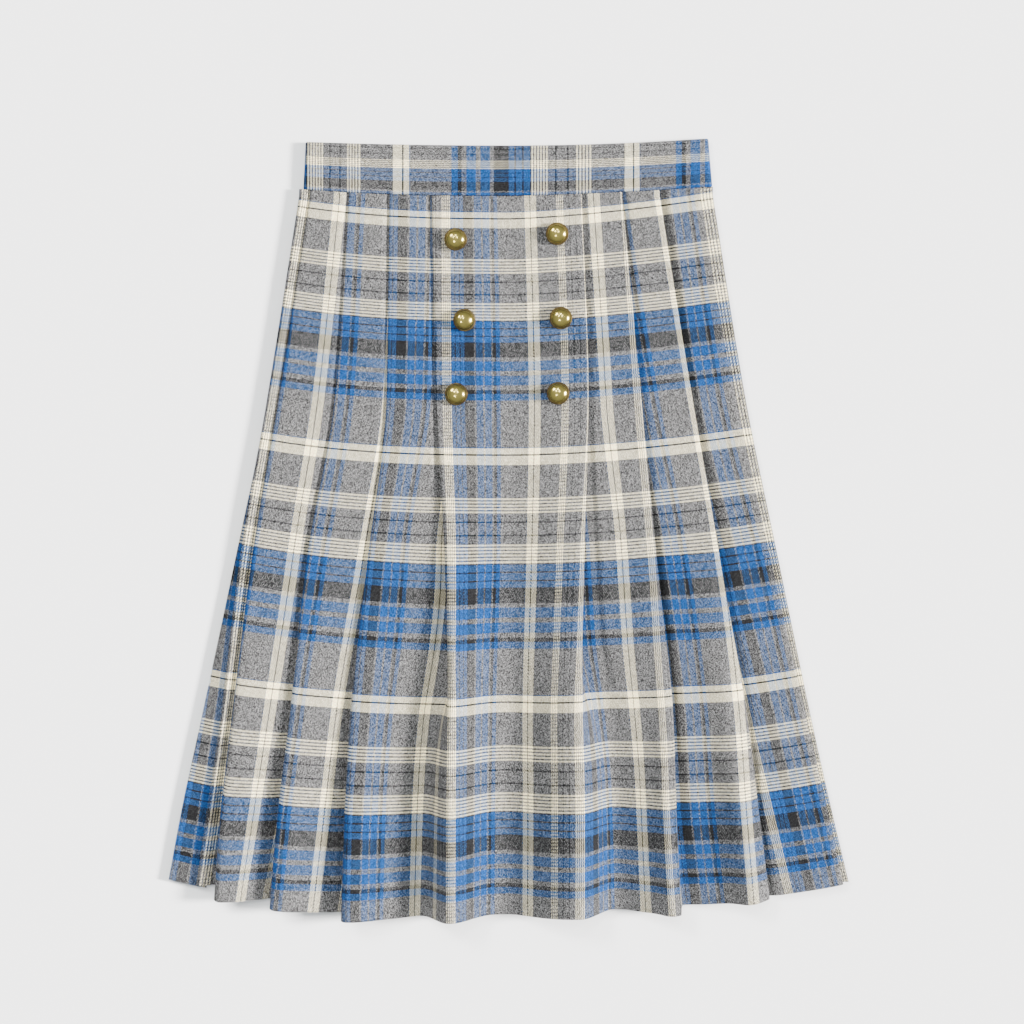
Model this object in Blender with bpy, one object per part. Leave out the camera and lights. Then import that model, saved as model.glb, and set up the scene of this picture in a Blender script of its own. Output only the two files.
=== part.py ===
"""Pleated skirt, laid flat with its front up.

Blender works in metres. Every size below is in millimetres, and MM turns it into metres when a mesh is
made. +Z is up from the surface that the skirt lies on, +Y points to the waist and +X to the right of
the front. The origin is the middle of the resting face.

The front is one cloth that runs from side to side. A flat centre panel has knife pleats on both sides
of it, and each pleat turns its cloth under at its outer edge. "Out" below means away from the middle
of the front, and "down" means from the waist seam to the hem.
"""

from collections import namedtuple

import bmesh
import bpy
import numpy as np

MM = 0.001

# The cloth and how its layers lie on each other
CLOTH_WALL = 1.0
LAYER_GAP = 0.35
LAYER = CLOTH_WALL + LAYER_GAP
SEAM_GAP = 0.3

# Heights of the wall's middle in the back's three layers, outer face down, then the front's three
BACK_OUTER = CLOTH_WALL / 2
BACK_INNER = BACK_OUTER + 2 * LAYER
FRONT_LOW = BACK_INNER + LAYER
FRONT_TOP = FRONT_LOW + 2 * LAYER

# Outline of the flat skirt
WAIST_Y = 281.0
HEM_DROP = 604.0
TO_MIDDLE = (-0.1, -0.1, 0.0)
BACK_SHORTER = 6.0

# How fast a panel climbs over the layers that are tucked under it
CLIMB = 2.2
NOSE_OUT = 0.3
CLEAR_OF_LAST_EDGE = 3.0
NOSE_LIMIT = 2.5

# Distances down the skirt at which each fold below is measured
DOWN = (0, 170, 305, 440, 510, 610)

SIDE_LEFT = (-173.8, -201.6, -229.5, -258.2, -273.4, -292)
SIDE_RIGHT = (171.8, 199.2, 226.7, 254.6, 270.1, 293.7)

# One knife pleat. edge: where its fold lies across the front. tucked: cloth hidden from the fold to
# where the next panel comes out. reach: how far out of the fold that place lies once the pleat has
# opened. crest: how far the fold stands up off the layers. swell and swell_back: how much higher the
# cloth rolls just before the fold at the hem, and how far before it. low: how much lower the fold's
# own hem hangs than the plain thread would. next_low: the same for the panel that it covers.
Pleat = namedtuple("Pleat", "edge tucked reach crest swell swell_back low next_low")

CLOSED = (0, 0, 0, 0, 0, 0)
LEFT_PLEATS = (
    Pleat((-64.2, -60.6, -53.4, -50.3, -50.3, -50.3), (63.8, 60, 36, 37.6, 38, 38),
          (0, 0, 0, 16, 20.2, 23.1), (0, 1, 9, 22, 26, 28), 0, 10, 0, 2),
    Pleat((-99.5, -102.1, -117.9, -133.1, -137.1, -140.6), (63, 54.8, 50.6, 38.6, 36.1, 26),
          CLOSED, (0, 0.5, 3, 8, 12, 15), 1, 14, 6, 2),
    Pleat((-133.5, -145.5, -169, -183.9, -192.7, -201.5), (66, 60.2, 61.6, 60.1, 57, 45),
          CLOSED, (0, 0.5, 2, 5, 8, 11), 1, 14, 3, -3),
    Pleat((-166.2, -192.3, -215.1, -232.2, -240.7, -248.6), (66.4, 57, 58.6, 60.5, 60.8, 59.6),
          CLOSED, (0, 0.5, 1.5, 3, 5, 8), 1, 14, 5, -6),
    Pleat((-175.1, -201.9, -225.2, -240.9, -250.9, -265.5), (63, 63, 63, 63, 63, 63),
          CLOSED, (0, 0, 0.5, 1, 1.5, 2), 0, 4, -3, -1),
)
RIGHT_PLEATS = (
    Pleat((61, 66.9, 63.5, 61, 61.8, 61.4), (62.8, 58.5, 44.7, 41.5, 41.5, 41.5),
          (0, 0, 8.8, 21.2, 25.6, 28.6), (0, 1, 9, 22, 26, 28), 0, 10, -3, -3),
    Pleat((95, 111.2, 124.2, 138.3, 140.7, 146.2), (62.2, 46.5, 31.5, 22.4, 22.4, 20.2),
          CLOSED, (0, 0.5, 3, 10, 13, 15), 6, 10, 1, -3),
    Pleat((126.5, 154.1, 177.6, 200.8, 209.2, 221.4), (60.5, 63.3, 55.5, 38.6, 26, 14),
          CLOSED, (0, 0, 2, 6, 8, 7), 13, 16, -2, -2),
    Pleat((160.1, 190.3, 220.1, 250, 265.9, 287.8), (66.4, 64.4, 69.5, 70.6, 71, 71),
          CLOSED, (0, 0, 0.5, 1, 1.5, 2), 0, 4, 0, -1),
)

# How much the two ends of a thread across the skirt rise above its middle, as (distance down, rise at
# the left side, rise at the right side, power of the curve on the left, power on the right)
ThreadRise = namedtuple("ThreadRise", "down left right left_power right_power")
THREAD_RISE = (
    ThreadRise(0, 5.5, 7.5, 2.7, 1.5),
    ThreadRise(20, 10.5, 17.5, 2.7, 1.5),
    ThreadRise(220, 14.5, 18.0, 2.7, 1.8),
    ThreadRise(425, 23.0, 23.5, 2.9, 2.2),
    ThreadRise(610, 30.5, 28.5, 3.0, 2.7),
)

# Below this distance the pleats fall open: a raised fold then also hangs lower than its neighbours
OPEN_FROM = 305.0
HANG_PER_HEIGHT = 0.2

# The centre panel: how wide the roll is beside its left and its right fold, and its sag onto the back
CENTRE_ROLL_LEFT = 36.0
CENTRE_ROLL_RIGHT = 62.0
CENTRE_SAG = 2.0
CENTRE_SHARES = (0.07, 0.15, 0.24, 0.36, 0.5, 0.64, 0.78, 0.9)

# The back's four pleats on each side, as fractions of the skirt's half width at waist and hem
BACK_EDGES = ((0.36, 0.27), (0.55, 0.46), (0.74, 0.65), (0.93, 0.84))
BACK_TUCKED = (58, 56, 52, 48, 45, 41)
BACK_INSET = 0.6

# The waistband, a flat tube
BAND_DEPTH = 40.5
BAND_WALL = 2.4
BAND_HEIGHT = 8.2
BAND_LEFT = (-172.4, -170.5)
BAND_RIGHT = (171.4, 168.0)
BAND_TOP_RISE = (3.0, 6.0)
BAND_CORNER = 0.8
BAND_SIDE_POINTS = 5
BAND_FLAT_POINTS = 12

# The buttons: middle of each as (across, up from the origin), lean out of level in degrees
BUTTON_RADIUS = 9.5
BUTTON_DOME = 5.4
SHANK_RADIUS = 1.8
SHANK_HEIGHT = 3.2
BUTTON_SIDES = 20
Button = namedtuple("Button", "name across up lean")
BUTTONS = (
    Button("button_left_1", -44.4, 243.9, 0),
    Button("button_left_2", -37.9, 176.1, 13),
    Button("button_left_3", -43.8, 114.0, 0),
    Button("button_right_1", 40.9, 248.6, 0),
    Button("button_right_2", 44.0, 177.8, 0),
    Button("button_right_3", 41.7, 114.7, 0),
)


def monotone(at, levels, values):
    """Smooth curve through (levels, values) that never swings past them, read at `at`."""
    levels, values = np.asarray(levels, float), np.asarray(values, float)
    step = np.diff(levels)
    slope = np.diff(values) / step
    tangent = np.zeros_like(values)
    same_way = slope[1:] * slope[:-1] > 0
    tangent[1:-1][same_way] = 2 / (1 / slope[1:][same_way] + 1 / slope[:-1][same_way])
    tangent[0], tangent[-1] = slope[0], slope[-1]
    at = np.clip(at, levels[0], levels[-1] + 10)
    i = np.clip(np.searchsorted(levels, at, side="right") - 1, 0, len(step) - 1)
    t = (at - levels[i]) / step[i]
    past = t > 1
    curve = ((2 * t**3 - 3 * t**2 + 1) * values[i] + (t**3 - 2 * t**2 + t) * step[i] * tangent[i]
             + (3 * t**2 - 2 * t**3) * values[i + 1] + (t**3 - t**2) * step[i] * tangent[i + 1])
    straight = values[i + 1] + (t - 1) * step[i] * tangent[i + 1]
    return np.where(past, straight, curve)


def ease(t):
    """0 to 1 with level ends."""
    t = np.clip(t, 0.0, 1.0)
    return t * t * (3 - 2 * t)


def thread_rise(across, drop):
    """How far a thread that is `drop` down in the middle has risen at `across`."""
    downs = [r.down for r in THREAD_RISE]
    left, right, left_power, right_power = (
        np.interp(drop, downs, [getattr(r, name) for r in THREAD_RISE])
        for name in ("left", "right", "left_power", "right_power"))
    on_left = across < 0
    side = np.where(on_left, -monotone(drop, DOWN, SIDE_LEFT), monotone(drop, DOWN, SIDE_RIGHT))
    share = np.minimum(np.abs(across) / side, 1.05)
    return np.where(on_left, left * share**left_power, right * share**right_power)


def on_thread(values, drop):
    """(value, distance down) where a line of the skirt, given at DOWN, crosses the thread at `drop`."""
    down = drop
    for _ in range(4):
        value = float(monotone(down, DOWN, values))
        down = drop - float(thread_rise(value, drop))
    return value, down


def opening(drop):
    """0 where the pleats are pressed shut, rising to 1 at the hem."""
    return float(np.clip((drop - OPEN_FROM) / (HEM_DROP - OPEN_FROM), 0, 1.1)) ** 1.3


class Fold:
    """One pleat where a thread across the skirt meets it, measured outwards from the middle."""

    def __init__(self, pleat, drop, side, last_out):
        edge, down = on_thread(pleat.edge, drop)
        self.out = side * edge
        self.tucked = float(monotone(down, DOWN, pleat.tucked))
        self.reach = max(float(monotone(down, DOWN, pleat.reach)), 0.0) + NOSE_OUT
        self.crest = max(float(monotone(down, DOWN, pleat.crest)), 0.0)
        self.swell = pleat.swell * opening(drop)
        self.swell_back = pleat.swell_back
        self.low = pleat.low * opening(drop)
        self.next_low = pleat.next_low * opening(drop)
        self.top = FRONT_TOP + self.crest
        self.start = last_out
        height = self.top - FRONT_LOW
        level = np.sqrt(max(self.tucked**2 - height**2, 0.0))
        depth = min((level - self.reach) / 2, self.out - last_out - CLEAR_OF_LAST_EDGE)
        self.depth = max(depth, -self.reach / 2)
        straight = np.hypot(self.reach, height)
        self.open = float(ease((straight / self.tucked - 0.55) / 0.35))
        self.nose = min(height / 4, NOSE_LIMIT)

    def panel_height(self, out, climb_width):
        """Height of the panel that ends in this fold, at a distance out."""
        t = (out - self.start) / max(self.out - self.start, 1.0)
        climb = (FRONT_TOP - FRONT_LOW) * ease((out - self.start) / climb_width)
        roll = self.swell * np.exp(-(((out - self.out + self.swell_back) / (0.6 * self.swell_back)) ** 2))
        return FRONT_LOW + climb + self.crest * ease(t) + roll

    def turned_under(self, climb_width):
        """Points (out, height, share of the way) from the fold's top round its edge to the panel below.

        The shut fold lies in three layers, and the open one is a single slope. What shows is a blend.
        """
        inner = self.out - self.depth
        under = self.out + self.reach
        nose = self.nose
        small = min(nose, LAYER / 2)
        out = np.array([self.out - nose, self.out, self.out - nose, (self.out + inner) / 2,
                        inner + small, inner, inner + small, (self.out + inner) / 2 + 1, under])
        layer = np.array([1, 0.75, 0.5, 0.5, 0.5, 0.25, 0, 0, 0])
        above = self.panel_height(np.minimum(out, self.out), climb_width)
        height = FRONT_LOW + layer * (above - FRONT_LOW)
        way = np.array([0, 0.12, 0.24, 0.38, 0.5, 0.58, 0.66, 0.82, 1.0])
        slope_out = self.out - 0.5 * nose + (self.reach + 0.5 * nose) * way
        slope_height = FRONT_LOW + (self.top - FRONT_LOW) * (1 - ease(way))
        mix = self.open
        return (1 - mix) * out + mix * slope_out, (1 - mix) * height + mix * slope_height, way


def side_of_front(pleats, end_line, drop, side):
    """One side of the front along a thread, from the centre fold's top out to the side.

    Returns distances out, heights and drops below the thread, and the first fold.
    """
    out, height, lower = [], [], []
    start, climb_width, start_low = -1e3, CLIMB, 0.0
    first = None
    for pleat in pleats:
        fold = Fold(pleat, drop, side, start)
        if first is None:
            first = fold
            fold.start = fold.out - 60
        else:
            top_end = fold.out - (1 - 0.5 * fold.open) * fold.nose
            first_third, second_third = (start + climb_width + (top_end - start - climb_width) * f
                                         for f in (1 / 3, 2 / 3))
            panel = np.array([start + climb_width * 0.35, start + climb_width * 0.7, start + climb_width,
                              first_third, second_third])
            t = (panel - start) / (top_end - start)
            out.append(panel)
            height.append(fold.panel_height(panel, climb_width))
            lower.append(start_low + (fold.low - start_low) * t)
        fold_out, fold_height, way = fold.turned_under(climb_width)
        out.append(fold_out)
        height.append(fold_height)
        lower.append(fold.low + (fold.next_low - fold.low) * way)
        start, start_low = fold.out + fold.reach, fold.next_low
        climb_width = CLIMB + 18 * fold.open
    end = max(side * on_thread(end_line, drop)[0], start + 0.5)
    last = start + (end - start) * np.array([0.5, 1.0])
    out.append(last)
    height.append(np.full(2, FRONT_LOW))
    lower.append(start_low * np.array([0.5, 0.0]))
    return np.concatenate(out), np.concatenate(height), np.concatenate(lower), first


def centre_height(across, left, right):
    """Height of the centre panel between its left and right side, each as side_of_front gives it."""
    from_left, from_right = across + left[0][0], right[0][0] - across
    roll_left = left[3].crest * (1 - ease(from_left / CENTRE_ROLL_LEFT))
    roll_right = right[3].crest * (1 - ease(from_right / CENTRE_ROLL_RIGHT))
    sag = CENTRE_SAG * ease((from_left - 36) / 20) * ease((from_right - 36) / 20)
    return FRONT_TOP + roll_left + roll_right - sag


def fold_columns():
    """Columns of the front's rows at the top of the centre panel's left and right fold."""
    left_points = len(side_of_front(LEFT_PLEATS, SIDE_LEFT, SEAM_GAP, -1)[0])
    return left_points - 1, left_points + len(CENTRE_SHARES)


def front_row(drop):
    """The front's middle surface along one thread, as points from the left side to the right."""
    left = side_of_front(LEFT_PLEATS, SIDE_LEFT, drop, -1)
    right = side_of_front(RIGHT_PLEATS, SIDE_RIGHT, drop, 1)
    from_x, to_x = -left[0][0], right[0][0]
    share = np.array(CENTRE_SHARES)
    across = from_x + (to_x - from_x) * share
    x = np.concatenate([-left[0][::-1], across, right[0]])
    z = np.concatenate([left[1][::-1], centre_height(across, left, right), right[1]])
    centre_low = left[2][0] * (1 - ease(share * 2.5)) + right[2][0] * (1 - ease((1 - share) * 2.5))
    lower = np.concatenate([left[2][::-1], centre_low, right[2]])
    hang = HANG_PER_HEIGHT * opening(drop) * (z - FRONT_TOP)
    y = WAIST_Y - drop + thread_rise(x, drop) - lower - hang
    return np.stack([x, y, z], axis=1)


def back_row(drop):
    """The back's middle surface along one thread, its outer face down, from left to right."""
    halves = []
    share = drop / HEM_DROP
    for side, line in ((-1, SIDE_LEFT), (1, SIDE_RIGHT)):
        half = side * on_thread(line, drop)[0] - BACK_INSET
        out, height, start = [], [], -1e3
        for at_waist, at_hem in BACK_EDGES:
            edge = half * (at_waist + (at_hem - at_waist) * share)
            if start > 0:
                out.append(start + np.array([CLIMB * 0.5, CLIMB]))
                height.append(np.array([(BACK_INNER + BACK_OUTER) / 2, BACK_OUTER]))
            tucked = float(monotone(drop, DOWN, BACK_TUCKED))
            inner = edge - min(tucked / 2, edge - start - CLEAR_OF_LAST_EDGE)
            nose, under = LAYER / 2, edge + NOSE_OUT
            out.append(np.array([edge - nose, edge, edge - nose, inner + nose, inner, inner + nose, under]))
            height.append(BACK_OUTER + LAYER * np.array([0, 0.5, 1, 1, 1.5, 2, 2]))
            start = under
        out.append(start + np.array([CLIMB * 0.5, CLIMB]))
        height.append(np.array([(BACK_INNER + BACK_OUTER) / 2, BACK_OUTER]))
        out.append(np.array([half - 2.2, half - 0.7, half]))
        height.append(np.array([BACK_OUTER, (BACK_INNER + BACK_OUTER) / 2, BACK_INNER]))
        halves.append((np.concatenate(out), np.concatenate(height)))
    (left, left_z), (right, right_z) = halves
    middle = np.linspace(-left[0], right[0], 4)[1:-1]
    x = np.concatenate([-left[::-1], middle, right])
    z = np.concatenate([left_z[::-1], np.full(2, BACK_OUTER), right_z])
    y = WAIST_Y - drop + thread_rise(x, drop)
    return np.stack([x, y, z], axis=1)


def walls_of(rows, wall):
    """Upper and lower faces of a wall: each row's middle line moved half the wall along its normal."""
    ahead = np.diff(rows[:, :, [0, 2]], axis=1)
    ahead /= np.linalg.norm(ahead, axis=2, keepdims=True)
    before = np.concatenate([ahead[:, :1], ahead], axis=1)
    after = np.concatenate([ahead, ahead[:, -1:]], axis=1)
    mean = before + after
    mean /= np.linalg.norm(mean, axis=2, keepdims=True)
    corner = np.clip((mean * after).sum(axis=2, keepdims=True), 0.8, 1.0)
    normal = np.stack([-mean[:, :, 1], np.zeros(mean.shape[:2]), mean[:, :, 0]], axis=2)
    shift = normal * (wall / 2) / corner
    return rows + shift, rows - shift


def grid_faces(rows, columns, first, flip):
    """Quads of a grid of points numbered row by row from `first`."""
    row, column = np.meshgrid(np.arange(rows - 1), np.arange(columns - 1), indexing="ij")
    a = (first + row * columns + column).ravel()
    quads = np.stack([a, a + columns, a + columns + 1, a + 1], axis=1)
    return quads[:, ::-1] if flip else quads


def mesh_object(name, points, faces, material):
    """A node made from points in millimetres."""
    mesh = bpy.data.meshes.new(name)
    placed = (np.asarray(points) + TO_MIDDLE) * MM
    mesh.from_pydata([tuple(p) for p in placed], [], [tuple(map(int, f)) for f in faces])
    mesh.materials.append(material)
    mesh.validate()
    node = bpy.data.objects.new(name, mesh)
    collection.objects.link(node)
    return node


def cut_end(wall, column, beside):
    """Moves a cut end of a wall half the seam gap towards the column beside it."""
    step = wall[:, beside] - wall[:, column]
    wall[:, column] += step / np.linalg.norm(step, axis=1, keepdims=True) * SEAM_GAP / 2


def cloth_object(name, rows, material, first=0, last=None):
    """A closed wall of cloth from the rows of its middle surface, or from their columns first to last.

    An end that isn't the rows' own end is a cut, and stays half the seam gap short of its neighbour.
    """
    whole = rows.shape[1] - 1
    last = whole if last is None else last
    upper, lower = (wall[:, first:last + 1].copy() for wall in walls_of(rows, CLOTH_WALL))
    for wall in (upper, lower):
        if first > 0:
            cut_end(wall, 0, 1)
        if last < whole:
            cut_end(wall, -1, -2)
    n_rows, n_columns = upper.shape[:2]
    count = n_rows * n_columns
    points = np.concatenate([upper.reshape(-1, 3), lower.reshape(-1, 3)])
    faces = [grid_faces(n_rows, n_columns, 0, False), grid_faces(n_rows, n_columns, count, True)]
    top_row = np.arange(n_columns)
    hem_row = top_row + (n_rows - 1) * n_columns
    left_side = np.arange(n_rows) * n_columns
    right_side = left_side + n_columns - 1
    for line, flip in ((top_row, False), (hem_row, True), (left_side, True), (right_side, False)):
        rim = np.stack([line[:-1], line[1:], line[1:] + count, line[:-1] + count], axis=1)
        faces.append(rim[:, ::-1] if flip else rim)
    return mesh_object(name, points, np.concatenate(faces), material)


def plain_material(name, colour, roughness, metallic=0.0):
    """A Principled material with one colour."""
    material = bpy.data.materials.new(name)
    material.use_nodes = True
    shader = material.node_tree.nodes["Principled BSDF"]
    shader.inputs["Base Color"].default_value = (*colour, 1.0)
    shader.inputs["Roughness"].default_value = roughness
    shader.inputs["Metallic"].default_value = metallic
    return material


def band_ring(depth_share, inset):
    """One ring of the waistband, `inset` inside its outer face, at a share of its depth from the seam."""
    left = BAND_LEFT[0] + (BAND_LEFT[1] - BAND_LEFT[0]) * depth_share + inset
    right = BAND_RIGHT[0] + (BAND_RIGHT[1] - BAND_RIGHT[0]) * depth_share - inset
    radius = BAND_HEIGHT / 2 - inset
    straight = np.linspace(left + radius, right - radius, BAND_FLAT_POINTS)
    turn = np.linspace(-np.pi / 2, np.pi / 2, BAND_SIDE_POINTS + 2)[1:-1]
    bulge, height = radius * (np.cos(turn) - 1), radius * np.sin(turn)
    x = np.concatenate([straight, right + bulge, straight[::-1], left - bulge])
    z = np.concatenate([np.full(BAND_FLAT_POINTS, -radius), height,
                        np.full(BAND_FLAT_POINTS, radius), height[::-1]])
    seam = WAIST_Y + thread_rise(x, 0.0)
    rise = np.where(x < 0, BAND_TOP_RISE[0], BAND_TOP_RISE[1]) * (x / BAND_RIGHT[1]) ** 2
    top = WAIST_Y + BAND_DEPTH + 1.5 + rise
    return np.stack([x, seam + (top - seam) * depth_share, z + BAND_HEIGHT / 2], axis=1)


def make_waistband(material):
    """A flattened tube with soft upper and lower rims, lofted through rings."""
    corner = BAND_CORNER / BAND_DEPTH
    profile = ((0.0, BAND_CORNER), (corner, 0.0), (0.5, 0.0), (1 - corner, 0.0), (1.0, BAND_CORNER),
               (1.0, BAND_WALL - BAND_CORNER), (1 - corner, BAND_WALL), (corner, BAND_WALL),
               (0.0, BAND_WALL - BAND_CORNER))
    rings = np.array([band_ring(share, inset) for share, inset in profile])
    n_rings, n_round = rings.shape[:2]
    faces = []
    for ring in range(n_rings):
        here, there = ring * n_round, (ring + 1) % n_rings * n_round
        around = np.arange(n_round)
        ahead = (around + 1) % n_round
        faces.append(np.stack([here + around, there + around, there + ahead, here + ahead], axis=1))
    return mesh_object("waistband", rings.reshape(-1, 3), np.concatenate(faces), material)


def front_height(across, up):
    """Height of the centre panel's middle surface under a point."""
    drop = WAIST_Y - up
    left = side_of_front(LEFT_PLEATS, SIDE_LEFT, drop, -1)
    right = side_of_front(RIGHT_PLEATS, SIDE_RIGHT, drop, 1)
    return float(centre_height(np.array([across]), left, right)[0])


def make_button(button, material):
    """A domed shank button turned from one profile, its shank just clear of the cloth."""
    lean = np.radians(button.lean)
    base = (front_height(button.across, button.up) + CLOTH_WALL / 2 + SEAM_GAP
            + SHANK_RADIUS * np.sin(lean))
    dome = [(BUTTON_RADIUS * np.cos(a), SHANK_HEIGHT + 1.1 + BUTTON_DOME * np.sin(a))
            for a in np.radians((0, 25, 50, 72, 90))]
    profile = [(0.0, 0.0), (SHANK_RADIUS, 0.0), (SHANK_RADIUS, SHANK_HEIGHT),
               (BUTTON_RADIUS - 1.0, SHANK_HEIGHT)] + dome
    profile[-1] = (0.0, profile[-1][1])
    build = bmesh.new()
    ring = [build.verts.new((r * MM, 0, z * MM)) for r, z in profile]
    edges = [build.edges.new(pair) for pair in zip(ring, ring[1:])]
    bmesh.ops.spin(build, geom=ring + edges, axis=(0, 0, 1), cent=(0, 0, 0), steps=BUTTON_SIDES,
                   angle=2 * np.pi, use_merge=True)
    bmesh.ops.remove_doubles(build, verts=build.verts, dist=0.00001)
    bmesh.ops.recalc_face_normals(build, faces=build.faces)
    mesh = bpy.data.meshes.new(button.name)
    build.to_mesh(mesh)
    build.free()
    mesh.materials.append(material)
    mesh.shade_smooth()
    node = bpy.data.objects.new(button.name, mesh)
    node.location = tuple((np.array([button.across, button.up, base]) + TO_MIDDLE) * MM)
    node.rotation_euler = (0, lean, 0)
    collection.objects.link(node)
    return node


for old in list(bpy.data.objects):
    bpy.data.objects.remove(old)
collection = bpy.data.collections.new("pleated_skirt")
bpy.context.scene.collection.children.link(collection)

plaid = plain_material("plaid_cloth", (0.30, 0.33, 0.38), 0.9)
band_cloth = plain_material("band_cloth", (0.27, 0.31, 0.38), 0.9)
brass = plain_material("antique_brass", (0.42, 0.33, 0.09), 0.35, 1.0)

FRONT_DROPS = (SEAM_GAP, 20, 60, 115, 170, 225, 275, 320, 365, 410, 455, 500, 540, 575, HEM_DROP)
BACK_DROPS = (SEAM_GAP, 20, 130, 240, 350, 460, 550, HEM_DROP - BACK_SHORTER)

make_waistband(band_cloth)
front_rows = np.array([front_row(drop) for drop in FRONT_DROPS])
left_fold, right_fold = fold_columns()
cloth_object("skirt_front_left", front_rows, plaid, last=left_fold)
cloth_object("skirt_front_centre", front_rows, plaid, first=left_fold, last=right_fold)
cloth_object("skirt_front_right", front_rows, plaid, first=right_fold)
cloth_object("skirt_back", np.array([back_row(drop) for drop in BACK_DROPS]), plaid)
for one in BUTTONS:
    make_button(one, brass)
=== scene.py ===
"""Looks of a knife-pleated plaid skirt that lies flat with its front up.

The cloth of the front, the back and the waistband is built here as fine shells on the form of the CAD
solids. Each point knows which warp and weft thread it lies on, so the plaid is woven thread by thread
in a shader and bends, folds and foreshortens with the cloth. Sizes in the tables are in millimetres.
"""

import logging
import math
from dataclasses import dataclass, field
from enum import Enum
from typing import NamedTuple

import bpy
import numpy as np
from bpy.types import ID, Material, Node, NodeSocket, NodeTree, Object
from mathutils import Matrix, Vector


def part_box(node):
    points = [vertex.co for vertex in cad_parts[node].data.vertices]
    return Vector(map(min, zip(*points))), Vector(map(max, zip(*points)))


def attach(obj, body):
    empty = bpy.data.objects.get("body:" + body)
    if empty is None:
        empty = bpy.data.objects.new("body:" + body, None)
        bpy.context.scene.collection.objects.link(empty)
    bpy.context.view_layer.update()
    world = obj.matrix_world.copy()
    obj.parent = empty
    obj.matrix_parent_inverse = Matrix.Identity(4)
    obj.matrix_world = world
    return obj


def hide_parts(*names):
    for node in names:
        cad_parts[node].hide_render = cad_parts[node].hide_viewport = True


Array = np.ndarray
Rows = Array | float
Floats = tuple[float, ...]
Value = NodeSocket | float | Floats

LOG = logging.getLogger("skirt")
MM = 0.001

# The cloth and how its layers lie on each other
CLOTH_WALL = 0.9
LAYER = 1.35
BACK_OUTER = 0.5
BACK_INNER = BACK_OUTER + 2 * LAYER
FRONT_LOW = BACK_INNER + LAYER
FRONT_TOP = FRONT_LOW + 2 * LAYER

# From how many degrees an edge looks sharp
SHARP_FROM = 60

# Outline and drape, as in the solids
WAIST_Y = 281.0
HEM_DROP = 604.0
TO_MIDDLE = (-0.1, -0.1, 0.0)
SEAM_GAP = 0.3
NOSE_OUT = 0.3
NOSE_LIMIT = 2.5
HANG_PER_HEIGHT = 0.2

# The pleats open from OPEN_FROM down. Some folds also hang low between HALF_FROM and HALF_TO
OPEN_FROM, OPEN_LIMIT, OPEN_POWER = 305.0, 1.1, 1.3
HALF_FROM, HALF_RISE, HALF_TO, HALF_FALL = 250, 110, 640, 180

# Tucked cloth keeps clear of the last fold. It counts as open from a stretch of OPEN_AT, over OPEN_OVER
CLEAR_OF_LAST_EDGE, LEAST_ROOM = 7.0, 1.2
OPEN_AT, OPEN_OVER = 0.55, 0.35

# Control points round a fold: layer of the shut pleat from 1 on top to 0, share of the way to the next
# panel, and fine points that follow. The point numbered EDGE_POINT lies on the edge
TURN = ((1, 0, 4), (0.75, 0.12, 4), (0.5, 0.24, 2), (0.5, 0.38, 2), (0.5, 0.5, 3), (0.25, 0.58, 3),
        (0, 0.66, 2), (0, 0.82, 3), (0, 1.0, 3))
EDGE_POINT = 1

# Height of the ripples at the waist, what the hem adds, and how far down they have grown to full
RIPPLE, RIPPLE_MORE, RIPPLE_FROM = 0.25, 0.45, 40

# The woven cloth: width of one warp end, the share of its width over which an end on top hides the fuller
# weft, and how much light reaches the threads on top: the warp stands higher than the weft
END_PITCH = 0.40
END_COVER = 0.67
WARP_LIT, WEFT_LIT = 1.15, 0.92

# Painted shade of the weave: brightness painted in the grooves between threads, painted light that a
# thread's crown adds, and how full its curve is
GROOVE_SHADE, CROWN_LIGHT, CROWN_POWER = 0.66, 0.42, 0.6

# Strength of the melange and of the change from thread to thread, and the share of the light that has
# first met the thread beside, against one that sends back PALEST
MELANGE = 0.82
SLUB = 0.1
BOUNCE, PALEST = 0.51, 0.8

# Distances down the skirt at which each fold is measured, and how far past the last one curves go on
DOWN = (0, 170, 305, 440, 510, 610)
PAST_END = 10


class Side(Enum):
    """Side of the skirt as seen from above, as the sign of X."""

    LEFT = -1
    RIGHT = 1


class Yarn(Enum):
    """Yarns of the plaid: share of red, green and blue light sent back, and how mixed the fibres are."""

    GREY = (0.153, 0.151, 0.151, 1.0)
    BLACK = (0.0180, 0.0185, 0.0195, 0.7)
    BLUE = (0.0155, 0.079, 0.232, 0.6)
    CREAM = (0.955, 0.862, 0.600, 0.3)

    @property
    def colour(self) -> tuple[float, float, float, float]:
        """Scene-linear RGBA."""
        return (*self.value[:3], 1.0)

    @property
    def melange(self) -> float:
        """How much the brightness changes from float to float."""
        return self.value[3]


@dataclass(frozen=True)
class Pleat:
    """One knife pleat. Tuples have a value for each distance in DOWN.

    Attributes:
        edge: place of the fold across the front.
        tucked: cloth hidden from the fold to where the next panel comes out.
        reach: how far out of the fold that place lies once the pleat has opened.
        crest: how far the fold stands up off the layers.
        swell: how much higher the cloth rolls just before the fold, at the hem.
        swell_back: how far before the fold that roll is highest.
        low: how much lower than the plain thread the fold hangs at the hem.
        next_low: the same for the panel that it covers.
        edge_end: warp thread on the fold.
        next_end: warp thread where the next panel comes out.
        mid_low: as low, where the folds begin to open.
        next_mid_low: as next_low, there.
    """

    edge: Floats
    tucked: Floats
    reach: Floats
    crest: Floats
    swell: float
    swell_back: float
    low: float
    next_low: float
    edge_end: Floats
    next_end: Floats
    mid_low: float = 0.0
    next_mid_low: float = 0.0


@dataclass(frozen=True)
class SideSeam:
    """Where a side seam lies at each distance in DOWN, and the warp thread on it."""

    place: Floats
    end: Floats


class ThreadRise(NamedTuple):
    """How a weft thread that is `down` in the middle rises towards the two sides."""

    down: float
    left: float
    right: float
    left_power: float
    right_power: float


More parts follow.
